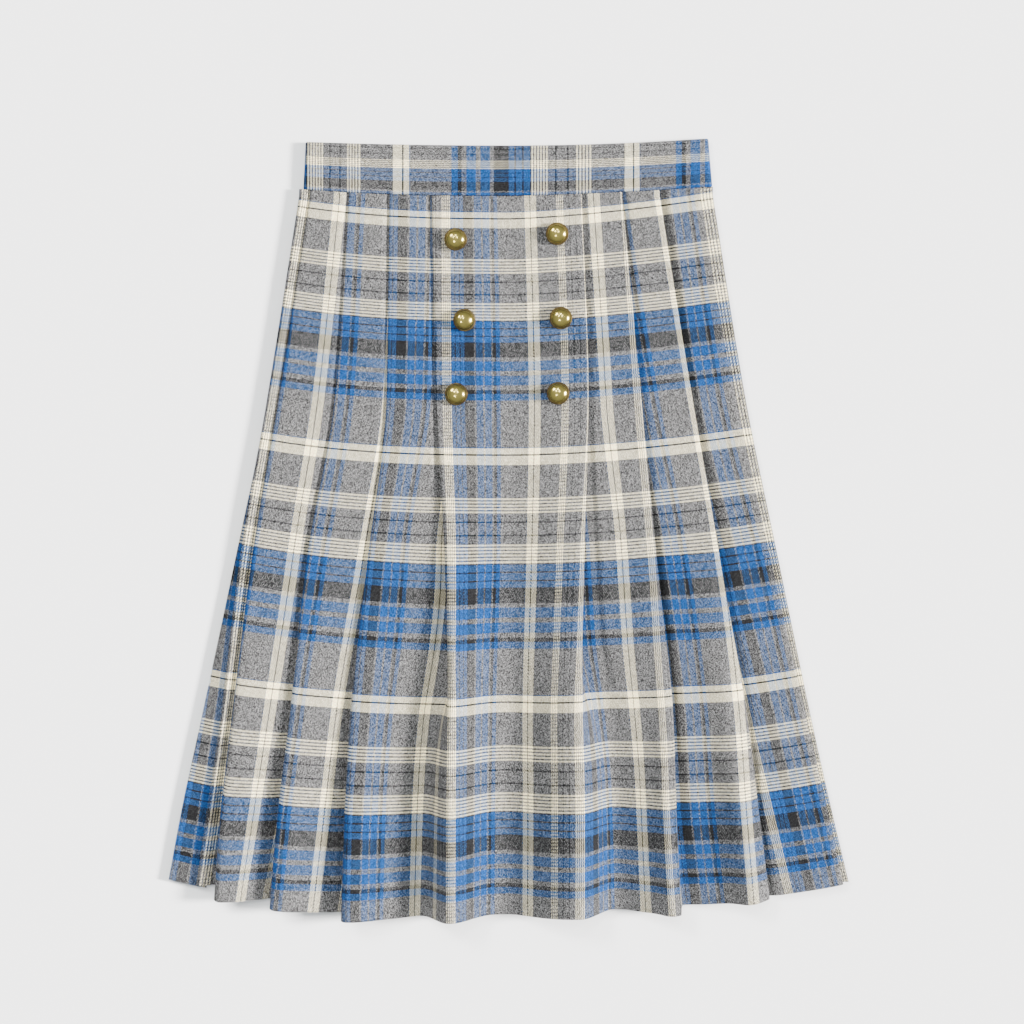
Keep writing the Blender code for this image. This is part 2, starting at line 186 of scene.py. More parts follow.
CLOSED = (0,) * 6
PLEATS = {
    Side.LEFT: (
        Pleat((-64.2, -60.6, -53.4, -50.3, -50.3, -50.3), (63.8, 60, 36, 37.6, 38, 38),
              (0, 0, 0, 16, 20.2, 23.1), (0, 1, 9, 22, 26, 28), 0, 10, 0, 2,
              (-21, -14, -9, -2, -1, -1), (-181, -164, -99, -96, -96, -96), 1.9, 1.7),
        Pleat((-99.5, -102.1, -117.9, -133.1, -137.1, -140.6), (63, 54.8, 50.6, 38.6, 36.1, 26),
              CLOSED, (0, 0.5, 3, 8, 12, 15), 1, 14, 6, 2,
              (-272, -272, -269, -278, -276, -280), (-429, -409, -396, -375, -366, -343)),
        Pleat((-133.5, -145.5, -169, -183.9, -192.7, -201.5), (66, 60.2, 61.6, 60.1, 57, 45),
              CLOSED, (0, 0.5, 2.5, 6.5, 10, 13), 1, 14, 3, -3,
              (-514, -520, -524, -513, -512, -512), (-688, -671, -678, -664, -655, -625)),
        Pleat((-166.2, -192.3, -215.1, -232.2, -240.7, -248.6), (66.4, 57, 58.6, 60.5, 60.8, 59.6),
              CLOSED, (0, 0.5, 2, 5, 8, 11), 1, 14, 5, -6,
              (-771, -791, -791, -785, -787, -779), (-937, -933, -938, -937, -939, -928)),
        Pleat((-175.1, -201.9, -225.2, -240.9, -250.9, -265.5), (63,) * 6,
              CLOSED, (0, 0, 0.5, 1, 1.5, 2), 0, 4, -3, -1,
              (-960,) * 6, (-1119,) * 6),
    ),
    Side.RIGHT: (
        Pleat((61, 66.9, 63.5, 61, 61.8, 61.4), (62.8, 58.5, 44.7, 41.5, 41.5, 41.5),
              (0, 0, 8.8, 21.2, 25.6, 28.6), (0, 1, 9, 22, 26, 28), 0, 10, -3, -3,
              (302, 303, 312, 320, 320, 320), (460, 450, 424, 424, 424, 424)),
        Pleat((95, 111.2, 124.2, 138.3, 140.7, 146.2), (62.2, 46.5, 31.5, 22.4, 22.4, 20.2),
              CLOSED, (0, 0.5, 3, 10, 13, 15), 6, 10, 1, -3,
              (552, 563, 568, 585, 584, 579), (707, 680, 647, 641, 640, 629)),
        Pleat((126.5, 154.1, 177.6, 200.8, 209.2, 221.4), (60.5, 63.3, 55.5, 38.6, 26, 14),
              CLOSED, (0, 0, 2, 6, 8, 7), 13, 16, -2, -2,
              (792, 791, 792, 813, 825, 842), (943, 949, 931, 909, 891, 861), 3.6),
        Pleat((160.1, 190.3, 220.1, 250, 265.9, 287.8), (66.4, 64.4, 69.5, 70.6, 71, 71),
              CLOSED, (0, 0, 0.5, 1, 1.5, 2), 0, 4, 0, -1,
              (1034, 1043, 1036, 1036, 1034, 1034), (1200, 1203, 1204, 1204, 1204, 1204)),
    ),
}
SEAMS = {
    Side.LEFT: SideSeam((-173.8, -201.6, -229.5, -258.2, -273.4, -292),
                        (-1130, -1133, -1142, -1166, -1171, -1171)),
    Side.RIGHT: SideSeam((171.8, 199.2, 226.7, 254.6, 270.1, 293.7),
                         (1219,) * 6),
}
THREAD_RISE = (
    ThreadRise(0, 5.5, 7.5, 2.7, 1.5),
    ThreadRise(20, 10.5, 17.5, 2.7, 1.5),
    ThreadRise(220, 14.5, 18.0, 2.7, 1.8),
    ThreadRise(425, 23.0, 23.5, 2.9, 2.2),
    ThreadRise(610, 30.5, 28.5, 3.0, 2.7),
)

# Which weft thread lies how far down the middle of the front, and the threads that the shaped waist
# cuts off at its left and right side, down to CUT_DEPTH
PICK_DOWN = (0, 14.3, 53.8, 90.7, 123.5, 172.2, 212.5, 254.5, 293.2, 329.3, 380.5, 420, 462, 501.5, 536.8,
             586.3, 606)
PICK_AT = (159.5, 181, 241, 297, 348, 421, 477, 537, 593, 644, 717, 773, 833, 889, 940, 1013, 1041)
CUT_LEFT, CUT_RIGHT, CUT_DEPTH = 7.7, 15.0, 20.0


@dataclass(frozen=True)
class Stripe:
    """A run of neighbouring threads of one yarn."""

    yarn: Yarn
    threads: int


LETTERS = {"G": Yarn.GREY, "K": Yarn.BLACK, "B": Yarn.BLUE, "C": Yarn.CREAM}


def stripes(chart: str) -> list[Stripe]:
    """Reads a chart, in which each word is a yarn's letter and its number of threads."""
    return [Stripe(LETTERS[word[0]], int(word[1:])) for word in chart.split()]


PAIRS = "C2 G2 "
WARP_CHART = stripes(PAIRS * 4 + "C2 B8 K2 B8 K2 B8 K20 G4 B14 G4 B14 G4 K6 B8 G58 B1 C11 K2 C12 G44 "
                     + PAIRS * 3 + "C2 G12 K2 G11 K2 G12")
WEFT_CHART = stripes("G1 " + PAIRS * 5 + "C2 G1 K1 B8 K2 B8 K2 B7 K19 G5 B12 G6 B12 G6 K5 B8 G55 B1 "
                     + "C7 K2 C11 G40 " + PAIRS * 4 + "C2 G10 K2 G14 K2 G9")


@dataclass(frozen=True)
class Lamp:
    """A lamp: direction it shines from as azimuth and elevation in degrees, strength and softness."""

    name: str
    azimuth: float
    elevation: float
    strength: float = 0.52
    spread: float = 6
    colour: tuple[float, float, float] = (1.0, 1.0, 0.97)


SUNS = (
    Lamp("right", 0, 28, 15.8, 12, (1.0, 0.97, 0.955)),
    Lamp("upper_left", 135, 46, 2.4, 16, (1.0, 0.98, 0.965)),
    Lamp("bank_1", 125, 70),
    Lamp("bank_2", 90, 62),
    Lamp("bank_3", 60, 74),
    Lamp("bank_4", 235, 76),
)
SKY_COLOUR = (0.90, 0.96, 1.0, 1.0)
SKY_ZENITH, SKY_RIM = 1.15, -0.85
FLOOR_COLOUR = (0.95, 0.95, 0.95, 1.0)
FLOOR_SIZE = 12000.0
FLOOR_UNDER = 0.05

# Photographer's view: straight down, from far away, 1024 pixels of 0.84 mm
VIEW_CENTRE = (2.9, 15.0)
VIEW_WIDTH = 860.2
VIEW_HEIGHT = 4000.0


def monotone(at: Array, levels: Floats, values: Floats) -> Array:
    """Smooth curve through (levels, values) that never swings past them.

    Its steps are cubic Hermite curves. The slope at a known place is the harmonic mean of the slopes on
    both sides, or 0 where they differ in sign. Past the last place it goes on straight, by PAST_END at most.

    Args:
        at: where to read the curve, any shape.
        levels: rising places of the known values.
        values: the known values.

    Returns:
        The curve's values, in the shape of `at`.
    """
    levels, values = np.asarray(levels, float), np.asarray(values, float)
    step = np.diff(levels)
    slope = np.diff(values) / step
    tangent = np.zeros_like(values)
    same_way = slope[1:] * slope[:-1] > 0
    tangent[1:-1][same_way] = 2 / (1 / slope[1:][same_way] + 1 / slope[:-1][same_way])
    tangent[0], tangent[-1] = slope[0], slope[-1]
    at = np.clip(at, levels[0], levels[-1] + PAST_END)
    i = np.clip(np.searchsorted(levels, at, side="right") - 1, 0, len(step) - 1)
    t = (at - levels[i]) / step[i]
    curve = ((2 * t**3 - 3 * t**2 + 1) * values[i] + (t**3 - 2 * t**2 + t) * step[i] * tangent[i]
             + (3 * t**2 - 2 * t**3) * values[i + 1] + (t**3 - t**2) * step[i] * tangent[i + 1])
    straight = values[i + 1] + (t - 1) * step[i] * tangent[i + 1]
    return np.where(t > 1, straight, curve)


def ease(t: Rows) -> Rows:
    """0 to 1 with level ends, clamped outside: 3 t squared - 2 t cubed."""
    t = np.clip(t, 0.0, 1.0)
    return t * t * (3 - 2 * t)


def share_of_side(across: Array, drop: Array) -> Array:
    """Distance from the middle as a share of the half width there, at most 1.05."""
    left = -monotone(drop, DOWN, SEAMS[Side.LEFT].place)
    right = monotone(drop, DOWN, SEAMS[Side.RIGHT].place)
    return np.minimum(np.abs(across) / np.where(across < 0, left, right), 1.05)


def thread_rise(across: Array, drop: Array) -> Array:
    """How far a weft thread that is `drop` down in the middle has risen at `across`.

    It is the rise at that side times a power of the share of the half width.

    Args:
        across: places across the skirt.
        drop: distance down in the middle, of a shape that fits `across`.

    Returns:
        The rise, in the shape of both together.
    """
    downs, *columns = zip(*THREAD_RISE)
    left, right, left_power, right_power = (np.interp(drop, downs, column) for column in columns)
    share = share_of_side(across, drop)
    return np.where(across < 0, left * share**left_power, right * share**right_power)


def on_thread(values: Floats, drop: Array) -> tuple[Array, Array]:
    """Where a line of the skirt crosses weft threads: at drop - rise down, found in four rounds.

    Args:
        values: place of the line at each distance in DOWN.
        drop: how far down each thread is in the middle, as a column.

    Returns:
        The place across and the real distance down of each crossing.
    """
    down = drop
    for _ in range(4):
        value = monotone(down, DOWN, values)
        down = drop - thread_rise(value, drop)
    return value, down


def half_open(drop: Array) -> Array:
    """1 in the middle of the skirt: a rise from 0 above times a fall towards the hem."""
    return ease((drop - HALF_FROM) / HALF_RISE) * ease((HALF_TO - drop) / HALF_FALL)


def opening(drop: Array) -> Array:
    """0 where the pleats are pressed shut: the share of the way from there to the hem, to a power."""
    return np.clip((drop - OPEN_FROM) / (HEM_DROP - OPEN_FROM), 0, OPEN_LIMIT) ** OPEN_POWER


@dataclass
class ControlLine:
    """Control points of every weft thread at once, gathered from the middle of the skirt outwards."""

    columns: list[Array] = field(default_factory=list)
    samples: list[int] = field(default_factory=list)
    anchors: dict[int, Array] = field(default_factory=dict)

    def add(self, out: Array, height: Rows, low: Rows, samples: int) -> None:
        """Adds one control point to every thread.

        Args:
            out: distance out, a value for each thread.
            height: height of the cloth's middle.
            low: how far the point hangs below the thread.
            samples: fine points from here to the next control point.
        """
        self.columns.append(np.stack(np.broadcast_arrays(out, height, low), axis=-1))
        self.samples.append(samples)

    def anchor(self, end: Array) -> None:
        """Says which warp thread passes through the last point that was added."""
        self.anchors[len(self.columns) - 1] = end

    def table(self) -> Array:
        """All points as an array of (threads, points, 3)."""
        return np.stack(self.columns, axis=1)


class FoldRows:
    """One pleat of the front on every weft thread, measured outwards from the middle."""

    def __init__(self, pleat: Pleat, side: Side, drop: Array, start: Array) -> None:
        """Reads the pleat's tables and shares its hidden cloth out.

        What is left of `tucked` after the way to the next panel goes back and forth under the fold. The
        pleat is open where that way is nearly as long as the hidden cloth.

        Args:
            pleat: the pleat.
            side: its side of the skirt.
            drop: how far down each thread is in the middle.
            start: where the panel that ends in this fold comes out, for each thread.
        """
        edge, down = on_thread(pleat.edge, drop)
        tables = (pleat.tucked, pleat.reach, pleat.crest, pleat.edge_end, pleat.next_end)
        tucked, reach, crest, self.edge_end, self.next_end = (monotone(down, DOWN, t) for t in tables)
        self.out = side.value * edge
        self.start = start
        self.reach = np.maximum(reach, 0.0) + NOSE_OUT
        self.crest = np.maximum(crest, 0.0)
        opened, half = opening(drop), half_open(drop)
        self.swell = pleat.swell * opened
        self.swell_back = pleat.swell_back
        self.low = pleat.low * opened + pleat.mid_low * half
        self.next_low = pleat.next_low * opened + pleat.next_mid_low * half
        self.top = FRONT_TOP + self.crest
        height = self.top - FRONT_LOW
        level = np.sqrt(np.maximum(tucked**2 - height**2, 0.0))
        room = np.maximum(self.out - start - CLEAR_OF_LAST_EDGE, LEAST_ROOM)
        self.depth = np.maximum(np.minimum((level - self.reach) / 2, room), -self.reach / 2)
        self.open = ease((np.hypot(self.reach, height) / tucked - OPEN_AT) / OPEN_OVER)
        self.nose = np.minimum(height / 4, NOSE_LIMIT)
        self.end = self.out + self.reach

    def panel_height(self, out: Array, climb: Array) -> Array:
        """Height of the panel that ends in this fold: its climb, its rise to the crest and its last roll.

        Args:
            out: distances out.
            climb: width over which the panel climbs onto its own tucked layers.

        Returns:
            Heights of the cloth's middle.
        """
        t = (out - self.start) / np.maximum(self.out - self.start, 1.0)
        roll = self.swell * np.exp(-(((out - self.out + self.swell_back) / (0.6 * self.swell_back)) ** 2))
        return (FRONT_LOW + (FRONT_TOP - FRONT_LOW) * ease((out - self.start) / climb)
                + self.crest * ease(t) + roll)

    def add_turn(self, line: ControlLine, climb: Array) -> None:
        """Adds the cloth from the fold's top round its edge to where the next panel comes out.

        Args:
            line: the line that grows.
            climb: width of the panel's climb.
        """
        inner, nose = self.out - self.depth, self.nose
        small = np.minimum(nose, LAYER / 2)
        middle = (self.out + inner) / 2
        shut = (self.out - nose, self.out + nose / 3, self.out - nose, middle, inner + small,
                inner - small / 3, inner + small, middle + 1, self.end)
        for number, (out, (layer, way, samples)) in enumerate(zip(shut, TURN)):
            above = self.panel_height(np.minimum(out, self.out), climb)
            height = FRONT_LOW + layer * (above - FRONT_LOW)
            slope_out = self.out - 0.5 * nose + (self.reach + 0.5 * nose) * way
            slope_height = FRONT_LOW + (self.top - FRONT_LOW) * (1 - ease(way))
            line.add((1 - self.open) * out + self.open * slope_out,
                     (1 - self.open) * height + self.open * slope_height,
                     self.low + (self.next_low - self.low) * way, samples)
            if number == EDGE_POINT:
                line.anchor(self.edge_end)
        line.anchor(self.next_end)


def ripple(x: Array, drop: Array) -> Array:
    """Soft unevenness of the pressed cloth: two products of sine waves, the same for all layers.

    A number under a distance is a wavelength, as millimetres for each radian.
    """
    wave = (np.sin(x / 17.0 + np.sin(drop / 83.0) * 1.7) * np.sin(drop / 41.0 + x / 60.0)
            + 0.6 * np.sin(x / 9.0 - drop / 70.0) * np.sin(drop / 26.0 - x / 31.0))
    return (RIPPLE + RIPPLE_MORE * drop / HEM_DROP) * (0.5 + 0.31 * wave)


def pick_at(x: Array, drop: Array) -> Array:
    """Weft thread at a place: that of its drop, and near the waist the threads that are cut off there."""
    cut = np.where(x < 0, CUT_LEFT, CUT_RIGHT) * share_of_side(x, drop) ** 2
    return np.interp(drop, PICK_DOWN, PICK_AT) + cut * np.clip(1 - drop / CUT_DEPTH, 0, 1)


def length_along(fine: Array) -> Array:
    """Length of cloth from the first point of each thread to every other: the sum of the steps."""
    step = np.hypot(np.diff(fine[..., 0], axis=1), np.diff(fine[..., 1], axis=1))
    return np.concatenate([np.zeros((len(fine), 1)), np.cumsum(step, axis=1)], axis=1)


def ends_along(fine: Array, anchors: list[tuple[int, Array]]) -> Array:
    """Number of the warp thread at each fine point: even steps of cloth between known threads.

    Args:
        fine: points as (threads, points, 3), with place across first and height second.
        anchors: fine index and warp thread of the known points, in order, from the first to the last.

    Returns:
        Warp thread numbers as (threads, points).
    """
    length = length_along(fine)
    ends = np.zeros(length.shape)
    for (a, end_a), (b, end_b) in zip(anchors, anchors[1:]):
        span = np.maximum(length[:, b:b + 1] - length[:, a:a + 1], 1e-6)
        share = (length[:, a:b + 1] - length[:, a:a + 1]) / span
        ends[:, a:b + 1] = end_a[:, None] + (end_b - end_a)[:, None] * share
    return ends


def join(left: ControlLine, middle: ControlLine, right: ControlLine) -> tuple[Array, Array]:
    """Joins the mirrored left side, the middle and the right side, and smooths them as cubic B-splines.

    Each fine point is the mean of the four control points round it, weighted by the spline's basis. A
    point past each end, mirrored through it, makes the curve begin and stop at its ends.

    Args:
        left: the left side, from the middle outwards.
        middle: what lies between, from left to right.
        right: the right side, from the middle outwards.

    Returns:
        Fine points as (threads, points, 3), and the fine index of each control point.
    """
    control = np.concatenate([left.table()[:, ::-1] * (-1, 1, 1), middle.table(), right.table()], axis=1)
    samples = left.samples[::-1][1:] + middle.samples[:1] + middle.samples + right.samples[:-1]
    t = np.concatenate([k + np.arange(n) / n for k, n in enumerate(samples)] + [[float(len(samples))]])
    i = np.minimum(t.astype(int), len(samples) - 1)
    f = (t - i)[:, None]
    basis = ((1 - f) ** 3, 3 * f**3 - 6 * f**2 + 4, -3 * f**3 + 3 * f**2 + 3 * f + 1, f**3)
    control = np.concatenate([2 * control[:, :1] - control[:, 1:2], control,
                              2 * control[:, -1:] - control[:, -2:-1]], axis=1)
    fine = sum(control[:, i + k] * weight for k, weight in enumerate(basis)) / 6
    return fine, np.concatenate([[0], np.cumsum(samples)])


def put(name: str, data: ID) -> Object:
    """Puts an object with this data into the scene."""
    obj = bpy.data.objects.new(name, data)
    bpy.context.scene.collection.objects.link(obj)
    return obj


def put_mesh(name: str, points: Array, faces: list[list[int]], material: Material) -> Object:
    """Puts a smooth mesh into the scene.

    Args:
        name: its name.
        points: (n, 3) in millimetres.
        faces: points round each face, anticlockwise from outside.
        material: its material.

    Returns:
        The object.
    """
    mesh = bpy.data.meshes.new(name)
    mesh.from_pydata((points * MM).tolist(), [], faces)
    mesh.validate()
    mesh.materials.append(material)
    mesh.shade_smooth()
    return put(name, mesh)


def grid_quads(rows: int, columns: int) -> Array:
    """Point numbers at the corners of each field of a grid, as (fields, 4)."""
    corner = (np.arange(rows - 1)[:, None] * columns + np.arange(columns - 1)).ravel()
    return np.stack([corner, corner + columns, corner + columns + 1, corner + 1], axis=1)


@dataclass
class ClothMesh:
    """Turns grids of points into closed shells with thread numbers as their UV map."""

    name: str
    material: Material

    def _object(self, points: Array, quads: Array, corner_threads: Array) -> Object:
        """Makes the object.

        Args:
            points: (n, 3) in millimetres.
            quads: (m, 4) point numbers.
            corner_threads: (m, 4, 2) warp and weft thread at each corner.

        Returns:
            The object, riding on the root body.
        """
        obj = put_mesh(self.name, points + TO_MIDDLE, quads.tolist(), self.material)
        layer = obj.data.uv_layers.new(name="threads")
        layer.data.foreach_set("uv", corner_threads.astype(np.float32).ravel())
        obj.data.set_sharp_from_angle(angle=math.radians(SHARP_FROM))
        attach(obj, "root")
        return obj

    def shell(self, rows: Array, threads: Array) -> Object:
        """A wall of cloth on both sides of a middle surface, closed round its rim.

        Each side is half the wall away, square to the mean direction of the steps before and after.

        Args:
            rows: the middle surface as (rows, columns, 3).
            threads: warp and weft thread of each of its points.

        Returns:
            The object.
        """
        ahead = np.diff(rows[:, :, [0, 2]], axis=1)
        ahead /= np.maximum(np.linalg.norm(ahead, axis=2, keepdims=True), 1e-9)
        before = np.concatenate([ahead[:, :1], ahead], axis=1)
        after = np.concatenate([ahead, ahead[:, -1:]], axis=1)
        mean = before + after
        mean /= np.maximum(np.linalg.norm(mean, axis=2, keepdims=True), 1e-9)
        shift = np.stack([-mean[:, :, 1], np.zeros(mean.shape[:2]), mean[:, :, 0]], axis=2) * CLOTH_WALL / 2
        n_rows, n_columns = rows.shape[:2]
        count = n_rows * n_columns
        points = np.concatenate([(rows + shift).reshape(-1, 3), (rows - shift).reshape(-1, 3)])
        face = grid_quads(n_rows, n_columns)
        top = np.arange(n_columns)
        hem = top + (n_rows - 1) * n_columns
        left = np.arange(n_rows) * n_columns
        right = left + n_columns - 1
        quads = [face, face[:, ::-1] + count]
        for line, flip in ((top, False), (hem, True), (left, True), (right, False)):
            rim = np.stack([line[:-1], line[1:], line[1:] + count, line[:-1] + count], axis=1)
            quads.append(rim[:, ::-1] if flip else rim)
        quads = np.concatenate(quads)
        return self._object(points, quads, np.concatenate([threads.reshape(-1, 2)] * 2)[quads])

    def tube(self, rings: Array, threads: Array) -> Object:
        """A closed ring of cloth lofted through rings of points.

        Args:
            rings: (rings, round, 3), the last ring next to the first.
            threads: (rings + 1, round + 1, 2), with the closing row and column repeated.

        Returns:
            The object.
        """
        n_rings, n_round = rings.shape[:2]
        around = np.arange(n_round + 1) % n_round
        numbers = (np.arange(n_rings + 1) % n_rings)[:, None] * n_round + around
        quads = grid_quads(n_rings + 1, n_round + 1)
        return self._object(rings.reshape(-1, 3), numbers.ravel()[quads], threads.reshape(-1, 2)[quads])


@dataclass(frozen=True)
class Front:
    """The whole front, one cloth with all its pleats.

    A panel climbs onto its tucked layers over `climb`, more where the pleat is open, but at most over
    `climb_share` of its own width. The steps are the places of control points, as shares of the climb, the
    rest of a panel, the strip beside the seam and the centre panel. The centre panel bends at its two folds,
    rolls up to them and sags between. It hangs low with a fold up to `low_to` of its width away.
    """

    rows: int = 98
    climb: float = 6.0
    climb_opened: float = 16
    climb_share: float = 0.6
    climb_steps: Floats = (0.3, 0.65, 1.0)
    panel_steps: Floats = (0.12, 0.28, 0.46, 0.64, 0.8, 0.91)
    seam_steps: Floats = (0.25, 0.5, 0.75, 1.0)
    centre_steps: Floats = (0.04, 0.09, 0.15, 0.22, 0.3, 0.4, 0.5, 0.6, 0.7, 0.79, 0.87, 0.94)
    bend: float = 60
    roll_left: float = 36.0
    roll_right: float = 62.0
    sag: float = 2.0
    sag_from: float = 36
    sag_over: float = 20
    low_to: float = 0.4

    def half(self, side: Side, drop: Array) -> tuple[ControlLine, FoldRows]:
        """One side of the front, from the centre panel's fold to the side seam.

        Args:
            side: which side.
            drop: how far down each weft thread is in the middle.

        Returns:
            The control points, and the centre panel's own fold.
        """
        line = ControlLine()
        folds: list[FoldRows] = []
        start, start_low = np.full_like(drop, -1e3), np.zeros_like(drop)
        climb = np.full_like(drop, self.climb)
        for pleat in PLEATS[side]:
            fold = FoldRows(pleat, side, drop, start)
            if folds:
                width = fold.out - (1 - 0.5 * fold.open) * fold.nose - start
                climb = np.minimum(climb, width * self.climb_share)
                steps = [climb * share for share in self.climb_steps]
                steps += [climb + (width - climb) * share for share in self.panel_steps]
                for along in steps:
                    out = start + along
                    line.add(out, fold.panel_height(out, climb),
                             start_low + (fold.low - start_low) * along / width, 3)
            else:
                fold.start = fold.out - self.bend
            fold.add_turn(line, climb)
            folds.append(fold)
            start, start_low = fold.end, fold.next_low
            climb = self.climb + self.climb_opened * fold.open
        place, down = on_thread(SEAMS[side].place, drop)
        end = np.maximum(side.value * place, start + 0.5)
        for share in self.seam_steps:
            line.add(start + (end - start) * share, FRONT_LOW, start_low * (1 - share), 4)
        line.anchor(monotone(down, DOWN, SEAMS[side].end))
        return line, folds[0]

    def cloth(self, drop: Array) -> tuple[Array, Array]:
        """Lays the cloth.

        A point lies at its thread's drop less the rise, lower by what its fold hangs low, and lower the
        higher it stands. The centre panel is level, less a sag, and rolls up to a fold at each side.

        Args:
            drop: how far down each row is in the middle.

        Returns:
            Middle surface as (rows, columns, 3), each row a weft thread from the left, and its threads.
        """
        left, left_fold = self.half(Side.LEFT, drop)
        right, right_fold = self.half(Side.RIGHT, drop)
        from_x, to_x = -left.columns[0][:, 0], right.columns[0][:, 0]
        centre = ControlLine()
        for share in self.centre_steps:
            x = from_x + (to_x - from_x) * share
            from_left, from_right = x - from_x, to_x - x
            sag = self.sag
            for away in (from_left, from_right):
                sag = sag * ease((away - self.sag_from) / self.sag_over)
            height = (FRONT_TOP + left_fold.crest * (1 - ease(from_left / self.roll_left))
                      + right_fold.crest * (1 - ease(from_right / self.roll_right)) - sag)
            low = (left_fold.low * (1 - ease(share / self.low_to))
                   + right_fold.low * (1 - ease((1 - share) / self.low_to)))
            centre.add(x, height, low, 4)
        fine, fine_index = join(left, centre, right)
        known = {len(left.columns) - 1 - k: end for k, end in left.anchors.items()}
        known.update({len(left.columns) + len(centre.columns) + k: end for k, end in right.anchors.items()})
        ends = ends_along(fine, [(fine_index[k], known[k]) for k in sorted(known)])
        x, height, low = fine[..., 0], fine[..., 1], fine[..., 2]
        column = drop[:, None]
        hang = HANG_PER_HEIGHT * opening(column) * (height - FRONT_TOP)
        y = WAIST_Y - column + thread_rise(x, column) - low - hang
        height = height + ripple(x, column) * ease(column / RIPPLE_FROM)
        return np.stack([x, y, height], axis=-1), np.stack([ends, pick_at(x, column)], axis=-1)

    def build(self, material: Material) -> Object:
        """Makes the piece and hides the CAD parts that it replaces."""
        drop = np.linspace(SEAM_GAP, HEM_DROP, self.rows)
        front = ClothMesh("skirt_front_cloth", material).shell(*self.cloth(drop))
        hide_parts("skirt_front_left", "skirt_front_centre", "skirt_front_right")
        return front


@dataclass(frozen=True)
class Back:
    """The whole back, one cloth with its outer face down, pressed flat and `shorter` than the front.

    The edges of its pleats are fractions of the half width at waist and hem, and `tucked` is the cloth
    hidden in each, at the distances in DOWN. It ends `inset` inside the seams. A panel sinks and rises in
    steps, and is halfway up `side_step` inside its side. Tucked cloth keeps `clear` of the last fold.
    """

    rows: int = 60
    shorter: float = 6.0
    edges: tuple[tuple[float, float], ...] = ((0.36, 0.27), (0.55, 0.46), (0.74, 0.65), (0.93, 0.84))
    tucked: Floats = (58, 56, 52, 48, 45, 41)
    inset: float = 0.6
    step: float = 1.1
    side_step: float = 0.7
    clear: float = 3.0

    def cloth(self, drop: Array) -> tuple[Array, Array]:
        """Lays the cloth.

        Args:
            drop: how far down each row is in the middle.

        Returns:
            Middle surface as (rows, columns, 3), each row a weft thread from the left, and its threads.
        """
        sides = []
        halfway = (BACK_OUTER + BACK_INNER) / 2
        for side in Side:
            half = side.value * on_thread(SEAMS[side].place, drop)[0] - self.inset
            line, start = ControlLine(), None
            for at_waist, at_hem in (*self.edges, (1.0, 1.0)):
                edge = half * (at_waist + (at_hem - at_waist) * drop / HEM_DROP)
                points = []
                if start is not None:
                    points += [(start + self.step, halfway, 2), (start + 2 * self.step, BACK_OUTER, 3),
                               ((start + edge) / 2, BACK_OUTER, 3)]
                if at_hem == 1.0:
                    points += [(edge - 2 * self.step, BACK_OUTER, 2), (edge - self.side_step, halfway, 2),
                               (edge, BACK_INNER, 2)]
                else:
                    depth = monotone(drop, DOWN, self.tucked) / 2
                    if start is not None:
                        depth = np.minimum(depth, edge - start - self.clear)
                    inner, nose = edge - depth, LAYER / 2
                    turn = ((edge - nose, 0, 3), (edge + nose / 3, 0.5, 3), (edge - nose, 1, 2),
                            (inner + nose, 1, 3), (inner - nose / 3, 1.5, 3), (inner + nose, 2, 2),
                            (edge + NOSE_OUT, 2, 2))
                    points += [(out, BACK_OUTER + LAYER * layer, samples) for out, layer, samples in turn]
                    start = edge + NOSE_OUT
                for out, height, samples in points:
                    line.add(out, height, 0.0, samples)
            sides.append(line)
        left, right = sides
        from_x, to_x = -left.columns[0][:, 0], right.columns[0][:, 0]
        middle = ControlLine()
        for share in (0.2, 0.4, 0.6, 0.8):
            middle.add(from_x + (to_x - from_x) * share, BACK_OUTER, 0.0, 3)
        fine, _ = join(left, middle, right)
        length = length_along(fine)
        ends = (length - length[:, -1:] / 2) / END_PITCH
        x, height, column = fine[..., 0], fine[..., 1], drop[:, None]
        y = WAIST_Y - column + thread_rise(x, column)
        return np.stack([x, y, height], axis=-1), np.stack([ends, pick_at(x, column)], axis=-1)

    def build(self, material: Material) -> Object:
        """Makes the piece and hides the CAD part that it replaces."""
        drop = np.linspace(SEAM_GAP, HEM_DROP - self.shorter, self.rows)
        back = ClothMesh("skirt_back_cloth", material).shell(*self.cloth(drop))
        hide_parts("skirt_back")
        return back


